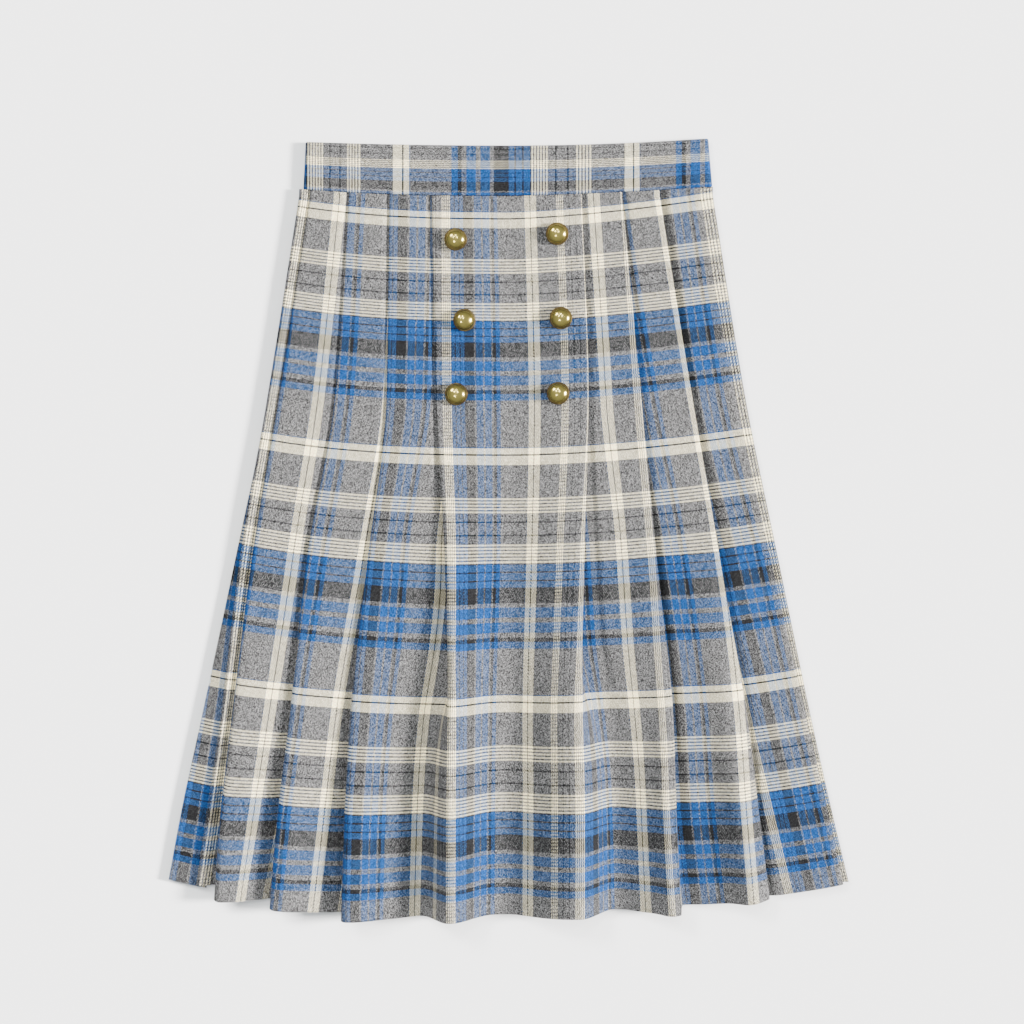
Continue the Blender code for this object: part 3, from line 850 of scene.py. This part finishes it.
@dataclass(frozen=True)
class Waistband:
    """The waistband. Its cloth is turned a quarter: weft threads run round it, warp threads up and down.

    Left and right are the places of its sides at the seam and at the top. The top lies `top_gap` above the
    depth in the middle and rises towards the left and the right. Weft thread picks[i] lies at places[i].
    The four numbers of points are those of a quarter rim, a face, a ring's straight run and a half circle,
    with both ends counted. `puff` is the height of the soft waves on its face.
    """

    depth: float = 40.5
    wall: float = 2.4
    height: float = 8.2
    left: Floats = (-172.4, -170.5)
    right: Floats = (171.4, 168.0)
    top_rise: Floats = (3.0, 6.0)
    top_gap: float = 1.5
    corner: float = 1.1
    puff: float = 0.25
    puff_length: float = 23.0
    places: Floats = (-175.0, -169.9, -155.7, -135.6, -124.7, -98.3, -84.3, -47.2, 18.8, 33.4, 57.6, 70.2,
                      97.1, 110.1, 141.6, 165.1, 175.0)
    picks: Floats = (329, 321, 297, 259, 241, 203, 182.5, 124, 24, 0, -38, -56, -94, -115, -173, -208, -223)
    top_end: float = 267.0
    seam_end: float = 377.0
    rim_points: int = 5
    face_points: int = 12
    run_points: int = 60
    bend_points: int = 14

    def rings(self) -> tuple[Array, Array]:
        """Points and threads of the band, a flattened tube with soft rims.

        Each ring runs round the waist, straight along both faces and in half circles at the sides. The
        rings go up the outer wall, over the top rim, down the inner wall and round the lower rim.

        Returns:
            Rings as (rings, round, 3), and threads with the closing row and column repeated.
        """
        turn = np.linspace(0, np.pi / 2, self.rim_points)
        along_rim = self.corner * (1 - np.cos(turn))
        off_face = self.corner * (1 - np.sin(turn))
        face = np.linspace(self.corner, self.depth - self.corner, self.face_points)[1:-1]
        away = np.concatenate([along_rim, face, self.depth - along_rim[::-1]])
        inset = np.concatenate([off_face, np.zeros_like(face), off_face[::-1]])
        away = np.concatenate([away, away[::-1]])
        inset = np.concatenate([inset, self.wall - inset[::-1]])
        share = (away / self.depth)[:, None]
        inset = inset[:, None]
        left = self.left[0] + (self.left[1] - self.left[0]) * share + inset
        right = self.right[0] + (self.right[1] - self.right[0]) * share - inset
        radius = self.height / 2 - inset
        along = np.linspace(0, 1, self.run_points)[None, :]
        straight = left + radius + (right - left - 2 * radius) * along
        bend = np.linspace(-np.pi / 2, np.pi / 2, self.bend_points)[None, 1:-1]
        x = np.concatenate([straight, right + radius * (np.cos(bend) - 1), straight[:, ::-1],
                            left - radius * (np.cos(bend) - 1)], axis=1)
        z = np.concatenate([-radius + 0 * along, radius * np.sin(bend), radius + 0 * along,
                            radius * np.sin(-bend)], axis=1)
        zero = np.zeros_like(x)
        seam = WAIST_Y + thread_rise(x, zero)
        rise = np.where(x < 0, self.top_rise[0], self.top_rise[1]) * (x / self.right[1]) ** 2
        top = WAIST_Y + self.depth + self.top_gap + rise
        puff = self.puff * np.sin(x / self.puff_length) * np.sin(share * np.pi) * (z > radius - 0.05)
        y = seam + (top - seam) * share
        points = np.stack([x, y, z + self.height / 2 + np.maximum(puff, 0)], axis=-1)
        pick = np.interp(x, self.places, self.picks)
        end = self.seam_end + (self.top_end - self.seam_end) * share + zero
        threads = np.stack([end, pick], axis=-1)
        threads = np.concatenate([threads, threads[:1]], axis=0)
        return points, np.concatenate([threads, threads[:, :1]], axis=1)

    def build(self, material: Material) -> Object:
        """Makes the piece and hides the CAD part that it replaces."""
        band = ClothMesh("waistband_cloth", material).tube(*self.rings())
        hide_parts("waistband")
        return band


@dataclass
class Graph:
    """Short ways to add shader nodes to a tree."""

    tree: NodeTree

    def node(self, kind: str, inputs: dict[str | int, Value] | None = None,
             **settings: str | NodeTree) -> Node:
        """Adds a node.

        Args:
            kind: the node's type name.
            inputs: values or sockets by input name or number.
            **settings: attributes of the node.

        Returns:
            The node.
        """
        node = self.tree.nodes.new(kind)
        for name, value in settings.items():
            setattr(node, name, value)
        for name, value in (inputs or {}).items():
            self.feed(node.inputs[name], value)
        return node

    def feed(self, socket: NodeSocket, value: Value) -> None:
        """Links a socket, or sets a plain value."""
        if isinstance(value, NodeSocket):
            self.tree.links.new(value, socket)
        else:
            socket.default_value = value

    def math(self, operation: str, *values: Value) -> NodeSocket:
        """Adds a maths node and returns its result."""
        return self.node("ShaderNodeMath", dict(enumerate(values)), operation=operation).outputs[0]

    def vector(self, operation: str, *values: Value) -> NodeSocket:
        """Adds a vector maths node and returns its result."""
        return self.node("ShaderNodeVectorMath", dict(enumerate(values)), operation=operation).outputs[0]

    def blend(self, factor: Value, low: Value, high: Value) -> NodeSocket:
        """Mixes two numbers and returns the result."""
        return self.node("ShaderNodeMix", {0: factor, 2: low, 3: high}).outputs[0]

    def mix(self, factor: Value, low: Value, high: Value) -> NodeSocket:
        """Mixes two colours and returns the result."""
        return self.node("ShaderNodeMix", {0: factor, 6: low, 7: high}, data_type="RGBA").outputs[2]

    def noise(self, x: Value, y: Value) -> NodeSocket:
        """Adds a random value from 0 to 1 that depends on two whole numbers."""
        cell = self.node("ShaderNodeCombineXYZ", {0: x, 1: y}).outputs[0]
        return self.node("ShaderNodeTexWhiteNoise", {"Vector": cell}, noise_dimensions="2D").outputs["Value"]


def group_with(name: str, inputs: dict[str, str], outputs: dict[str, str]) -> tuple[Graph, Node, Node]:
    """Makes an empty node group.

    Args:
        name: the group's name.
        inputs: type of each input, by its name.
        outputs: the same for each output.

    Returns:
        The group's graph, its input node and its output node.
    """
    tree = bpy.data.node_groups.new(name, "ShaderNodeTree")
    for way, sockets in (("INPUT", inputs), ("OUTPUT", outputs)):
        for label, kind in sockets.items():
            tree.interface.new_socket(label, in_out=way, socket_type=f"NodeSocket{kind}")
    graph = Graph(tree)
    return graph, graph.node("NodeGroupInput"), graph.node("NodeGroupOutput")


def chart_group(name: str, chart: list[Stripe]) -> NodeTree:
    """Node group that gives a thread's yarn colour from its number.

    The number modulo the chart's length falls into one stripe, and a mask compares it with each stripe.

    Args:
        name: the group's name.
        chart: the stripes of one repeat.

    Returns:
        The group, with input Thread and outputs Color and Melange.
    """
    graph, source, result = group_with(name, {"Thread": "Float"}, {"Color": "Color", "Melange": "Float"})
    total = sum(stripe.threads for stripe in chart)
    place = graph.math("FLOORED_MODULO", source.outputs["Thread"], float(total))
    masks: dict[Yarn, Value] = {}
    first = 0
    for stripe in chart:
        if stripe.yarn is not Yarn.GREY:
            half = stripe.threads / 2
            inside = graph.math("COMPARE", place, first + half - 0.5, half - 0.25)
            masks[stripe.yarn] = graph.math("ADD", masks.get(stripe.yarn, 0.0), inside)
        first += stripe.threads
    colour, melange = Yarn.GREY.colour, Yarn.GREY.melange
    for yarn, mask in masks.items():
        colour = graph.mix(mask, colour, yarn.colour)
        melange = graph.math("MULTIPLY_ADD", mask, yarn.melange - Yarn.GREY.melange, melange)
    graph.feed(result.inputs["Color"], colour)
    graph.feed(result.inputs["Melange"], melange)
    return graph.tree


def twill_group() -> NodeTree:
    """Node group that weaves the two charts into a 2/2 twill.

    The twill is broken: the third and fourth of each four ends change places, so no diagonal rules. The
    warp thread lies on top where (place of the end + pick) modulo 4 is under 2, and hides the weft over
    END_COVER of its own width. Each crossing has its own brightness, 3 * random squared - 1 times the
    yarn's melange, as mixed fibres give it. Colour is top * (1 - BOUNCE + BOUNCE * under / PALEST), because
    light bounces between the two threads.

    Returns:
        The group, with outputs Color and Height, read from the UV map of thread numbers.
    """
    graph, _, result = group_with("plaid_twill", {}, {"Color": "Color", "Height": "Float"})
    threads = graph.node("ShaderNodeUVMap", uv_map="threads")
    parts = graph.node("ShaderNodeSeparateXYZ", {0: threads.outputs[0]})
    warp, weft = parts.outputs[0], parts.outputs[1]
    end, pick = graph.math("FLOOR", warp), graph.math("FLOOR", weft)
    across_end, across_pick = graph.math("FRACT", warp), graph.math("FRACT", weft)
    straight = graph.math("FLOORED_MODULO", end, 4.0)
    swapped = graph.math("SUBTRACT", 5.0, straight)
    place = graph.blend(graph.math("GREATER_THAN", straight, 1.5), straight, swapped)
    diagonal = graph.math("ADD", place, pick)
    warp_up = graph.math("LESS_THAN", graph.math("FLOORED_MODULO", diagonal, 4.0), 1.5)
    warp_up = graph.math("MULTIPLY", warp_up, graph.math("COMPARE", across_end, 0.5, END_COVER / 2))
    colours, melanges = [], []
    for name, chart, thread in (("warp", WARP_CHART, end), ("weft", WEFT_CHART, pick)):
        node = graph.node("ShaderNodeGroup", node_tree=chart_group(f"{name}_chart", chart))
        graph.feed(node.inputs["Thread"], thread)
        colours.append(node.outputs["Color"])
        melanges.append(node.outputs["Melange"])
    top = graph.mix(warp_up, colours[1], colours[0])
    under = graph.mix(warp_up, colours[0], colours[1])
    bounced = graph.vector("MULTIPLY_ADD", under, (BOUNCE / PALEST,) * 3, (1 - BOUNCE,) * 3)
    yarn = graph.vector("MULTIPLY", top, bounced)
    mixed = graph.blend(warp_up, melanges[1], melanges[0])
    crown = graph.blend(warp_up, across_pick, across_end)
    height = graph.math("POWER", graph.math("SINE", graph.math("MULTIPLY", crown, math.pi)), CROWN_POWER)
    thread = graph.blend(warp_up, pick, end)
    speck, strand = graph.noise(end, pick), graph.noise(thread, warp_up)
    square = graph.math("MULTIPLY", speck, speck)
    swing = graph.math("MULTIPLY", graph.math("MULTIPLY_ADD", square, 3.0, -1.0), mixed)
    bright = graph.math("MULTIPLY_ADD", swing, MELANGE, 1.0 - SLUB / 2)
    bright = graph.math("MULTIPLY_ADD", strand, SLUB, bright)
    # painted shade: the colour is darker in the grooves between threads and lighter on their crowns
    relief = graph.math("MULTIPLY_ADD", height, CROWN_LIGHT, GROOVE_SHADE)
    lit = graph.math("MULTIPLY_ADD", warp_up, WARP_LIT - WEFT_LIT, WEFT_LIT)
    bright = graph.math("MULTIPLY", graph.math("MULTIPLY", bright, relief), lit)
    shaded = graph.node("ShaderNodeVectorMath", {0: yarn, "Scale": bright}, operation="SCALE")
    graph.feed(result.inputs["Color"], shaded.outputs[0])
    graph.feed(result.inputs["Height"], height)
    return graph.tree


@dataclass(frozen=True)
class ClothFinish:
    """Surface of the plaid: dull, with a trace of fuzz and the threads' own relief."""

    roughness: float = 0.88
    specular: float = 0.08
    sheen: float = 0.03
    sheen_roughness: float = 0.5
    bump: float = 0.35
    bump_depth: float = 0.00018


@dataclass(frozen=True)
class BrassFinish:
    """Aged brass with painted rim shade: the shares of the radius say where it begins and where it is
    darkest.
    """

    rubbed: Floats = (0.35, 0.285, 0.08, 1)
    patina_and_rim_shade: Floats = (0.06, 0.04, 0.014, 1)
    rim_shade_from: float = 0.66
    rim_shade_full: float = 0.96
    patches: float = 0.8
    roughness: float = 0.16
    aged_roughness: float = 0.3
    grain: float = 420.0
    bump: float = 0.12
    bump_depth: float = 0.0004


class Materials:
    """All materials of the scene, made once."""

    def __init__(self) -> None:
        """Makes the cloth, the brass and the floor."""
        self.plaid = self._cloth(ClothFinish())
        self.brass = self._brass(BrassFinish())
        self.floor = self._base("floor_white", {"Base Color": FLOOR_COLOUR, "Roughness": 0.9,
                                                "Specular IOR Level": 0.0})[0]

    def _base(self, name: str, values: dict[str, Value]) -> tuple[Material, Graph, Node]:
        """A material with plain values on its shader's own sockets.

        Args:
            name: the material's name.
            values: the values, by socket.

        Returns:
            The material, its graph and its Principled node.
        """
        material = bpy.data.materials.new(name)
        material.use_nodes = True
        shader = material.node_tree.nodes["Principled BSDF"]
        for socket, value in values.items():
            shader.inputs[socket].default_value = value
        return material, Graph(material.node_tree), shader

    def _cloth(self, finish: ClothFinish) -> Material:
        """The woven plaid."""
        material, graph, shader = self._base(
            "plaid_twill_cloth", {"Roughness": finish.roughness, "Specular IOR Level": finish.specular,
                                  "Sheen Weight": finish.sheen, "Sheen Roughness": finish.sheen_roughness})
        weave = graph.node("ShaderNodeGroup", node_tree=twill_group())
        bump = graph.node("ShaderNodeBump", {"Height": weave.outputs["Height"], "Strength": finish.bump,
                                             "Distance": finish.bump_depth})
        graph.feed(shader.inputs["Base Color"], weave.outputs["Color"])
        graph.feed(shader.inputs["Normal"], bump.outputs["Normal"])
        return material

    def _brass(self, finish: BrassFinish) -> Material:
        """Aged brass: painted rim shade between the two shares of the radius, made patchy by noise."""
        material, graph, shader = self._base("antique_brass_button", {"Metallic": 1.0})
        radius = graph.node("ShaderNodeAttribute", attribute_name="radius_share").outputs["Fac"]
        place = graph.node("ShaderNodeTexCoord").outputs["Object"]
        grain = graph.node("ShaderNodeTexNoise", {"Vector": place, "Scale": finish.grain, "Detail": 5.0,
                                                  "Roughness": 0.6}).outputs["Fac"]
        # painted rim shade: the colour turns darker from one share of the radius to the next, towards the
        # rim
        edge = graph.node("ShaderNodeMapRange", {0: radius, 1: finish.rim_shade_from,
                                                 2: finish.rim_shade_full}).outputs[0]
        patina_and_rim_shade_share = graph.math("MULTIPLY_ADD", graph.math("SUBTRACT", grain, 0.5), finish.patches, edge)
        patina_and_rim_shade_share = graph.math("MINIMUM", graph.math("MAXIMUM", patina_and_rim_shade_share, 0.0), 1.0)
        roughness = graph.math("MULTIPLY_ADD", patina_and_rim_shade_share, finish.aged_roughness, finish.roughness)
        bump = graph.node("ShaderNodeBump", {"Height": grain, "Strength": finish.bump,
                                             "Distance": finish.bump_depth})
        graph.feed(shader.inputs["Base Color"], graph.mix(patina_and_rim_shade_share, finish.rubbed, finish.patina_and_rim_shade))
        graph.feed(shader.inputs["Roughness"], roughness)
        graph.feed(shader.inputs["Normal"], bump.outputs["Normal"])
        return material


@dataclass(frozen=True)
class Button:
    """A domed shank button. The rim's points are in from the radius and up from the shank."""

    radius: float = 9.5
    dome: float = 5.2
    dome_radius: float = 8.6
    dome_base: float = 1.15
    fullness: float = 0.92
    shank_radius: float = 1.8
    shank_height: float = 3.2
    rim: tuple[tuple[float, float], ...] = (
        (0.9, 0.0), (0.25, 0.1), (0.0, 0.45), (0.0, 0.85), (0.25, 1.2), (0.65, 1.25), (0.88, 1.02))
    sides: int = 72
    dome_rings: int = 22
    leaning: str = "button_left_2"
    lean: float = 13.0

    def profile(self) -> Array:
        """Distances out and up, from the shank's foot over the rim to the top of the dome.

        The dome is dome_radius * cos(angle) ** fullness out, and dome * sin(angle) above its base.

        Returns:
            Points as (n, 2), the first and the last on the axis.
        """
        shank = [(0.0, 0.0), (self.shank_radius, 0.0), (self.shank_radius, self.shank_height)]
        rim = [(self.radius - inward, self.shank_height + up) for inward, up in self.rim]
        angle = np.linspace(0, np.pi / 2, self.dome_rings)
        dome = np.stack([self.dome_radius * np.cos(angle) ** self.fullness,
                         self.shank_height + self.dome_base + self.dome * np.sin(angle)], axis=1)
        dome[-1, 0] = 0.0
        return np.concatenate([shank, rim, dome])

    def build(self, node_name: str, material: Material) -> Object:
        """A domed shank button in the place of a CAD node: its profile turned round, closed at both poles.

        Args:
            node_name: the CAD node that it replaces.
            material: its material.

        Returns:
            The button's object.
        """
        low, high = (np.array(corner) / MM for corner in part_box(node_name))
        profile = self.profile()
        turn = np.arange(self.sides) * 2 * np.pi / self.sides
        out, up = profile[1:-1, 0][:, None], profile[1:-1, 1][:, None]
        rings = np.stack([out * np.cos(turn), out * np.sin(turn), up + 0 * turn], axis=-1)
        points = np.concatenate([[[0, 0, profile[0, 1]]], rings.reshape(-1, 3), [[0, 0, profile[-1, 1]]]])
        if node_name == self.leaning:
            sine, cosine = math.sin(math.radians(self.lean)), math.cos(math.radians(self.lean))
            points = points @ np.array([[cosine, 0, -sine], [0, 1, 0], [sine, 0, cosine]])
        size_low, size_high = points.min(axis=0), points.max(axis=0)
        points[:, :2] += (low + high - size_low - size_high)[:2] / 2
        points[:, 2] += low[2] - size_low[2]
        around = np.arange(self.sides + 1) % self.sides
        numbers = 1 + np.arange(len(rings))[:, None] * self.sides + around
        sides = numbers.ravel()[grid_quads(*numbers.shape)[:, [0, 3, 2, 1]]]
        foot, top = np.zeros(self.sides, int), np.full(self.sides, len(points) - 1)
        base = np.stack([foot, numbers[0, 1:], numbers[0, :-1]], axis=1)
        crown = np.stack([top, numbers[-1, :-1], numbers[-1, 1:]], axis=1)
        faces = base.tolist() + sides.tolist() + crown.tolist()
        obj = put_mesh(f"{node_name}_metal", points, faces, material)
        shares = np.concatenate([[0], np.repeat(profile[1:-1, 0] / self.radius, self.sides), [0]])
        layer = obj.data.attributes.new("radius_share", "FLOAT", "POINT")
        layer.data.foreach_set("value", shares.astype(np.float32))
        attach(obj, "root")
        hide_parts(node_name)
        return obj


@dataclass
class Studio:
    """Floor, lamps, sky and camera."""

    materials: Materials

    def build(self) -> None:
        """Makes the whole surroundings."""
        self._floor()
        self._lamps()
        self._sky()
        self._camera()

    def _floor(self) -> None:
        """A plain white surface just under the skirt."""
        corners = np.array([(-1, -1, 0), (1, -1, 0), (1, 1, 0), (-1, 1, 0)]) * FLOOR_SIZE / 2
        floor = put_mesh("floor", corners, [[0, 1, 2, 3]], self.materials.floor)
        floor.location.z = -FLOOR_UNDER * MM

    def _lamps(self) -> None:
        """Far lamps, so that the light is even over the whole skirt."""
        for lamp in SUNS:
            data = bpy.data.lights.new(lamp.name, "SUN")
            data.energy = lamp.strength
            data.angle = math.radians(lamp.spread)
            data.color = lamp.colour
            turn = (math.radians(90 - lamp.elevation), 0, math.radians(90 + lamp.azimuth))
            put(lamp.name, data).rotation_euler = turn

    def _sky(self) -> None:
        """Even fill light from all round: SKY_ZENITH + SKY_RIM * (1 - height of the direction)."""
        world = bpy.data.worlds.new("studio")
        bpy.context.scene.world = world
        world.use_nodes = True
        graph = Graph(world.node_tree)
        background = world.node_tree.nodes["Background"]
        background.inputs["Color"].default_value = SKY_COLOUR
        direction = graph.node("ShaderNodeTexCoord").outputs["Generated"]
        height = graph.node("ShaderNodeSeparateXYZ", {0: direction}).outputs[2]
        low = graph.math("SUBTRACT", 1.0, graph.math("MAXIMUM", height, 0.0))
        graph.feed(background.inputs["Strength"], graph.math("MULTIPLY_ADD", low, SKY_RIM, SKY_ZENITH))

    def _camera(self) -> None:
        """Straight down on the skirt, from far away."""
        data = bpy.data.cameras.new("camera")
        data.sensor_width = 36.0
        data.lens = data.sensor_width * (VIEW_HEIGHT - FRONT_TOP) / VIEW_WIDTH
        data.clip_end = 100.0
        camera = put("camera", data)
        camera.location = (VIEW_CENTRE[0] * MM, VIEW_CENTRE[1] * MM, VIEW_HEIGHT * MM)
        bpy.context.scene.camera = camera


@dataclass
class Skirt:
    """The skirt's own pieces."""

    materials: Materials

    def build(self) -> list[Object]:
        front, back, band = (part.build(self.materials.plaid) for part in (Front(), Back(), Waistband()))
        names = [f"button_{side}_{number}" for side in ("left", "right") for number in (1, 2, 3)]
        buttons = [Button().build(name, self.materials.brass) for name in names]
        return [front, back, band, *buttons]


def main() -> None:
    """Builds the whole scene and reports each piece."""
    logging.basicConfig(level=logging.INFO)
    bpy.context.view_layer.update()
    materials = Materials()
    for piece in Skirt(materials).build():
        LOG.info("%s: %d faces", piece.name, len(piece.data.polygons))
    Studio(materials).build()


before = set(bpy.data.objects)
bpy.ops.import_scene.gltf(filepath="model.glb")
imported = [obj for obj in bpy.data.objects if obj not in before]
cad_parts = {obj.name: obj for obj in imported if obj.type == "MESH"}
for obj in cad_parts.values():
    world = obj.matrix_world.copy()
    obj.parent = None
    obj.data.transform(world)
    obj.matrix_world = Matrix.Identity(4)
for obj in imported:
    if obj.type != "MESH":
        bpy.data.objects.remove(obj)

if __name__ == "__main__":
    main()
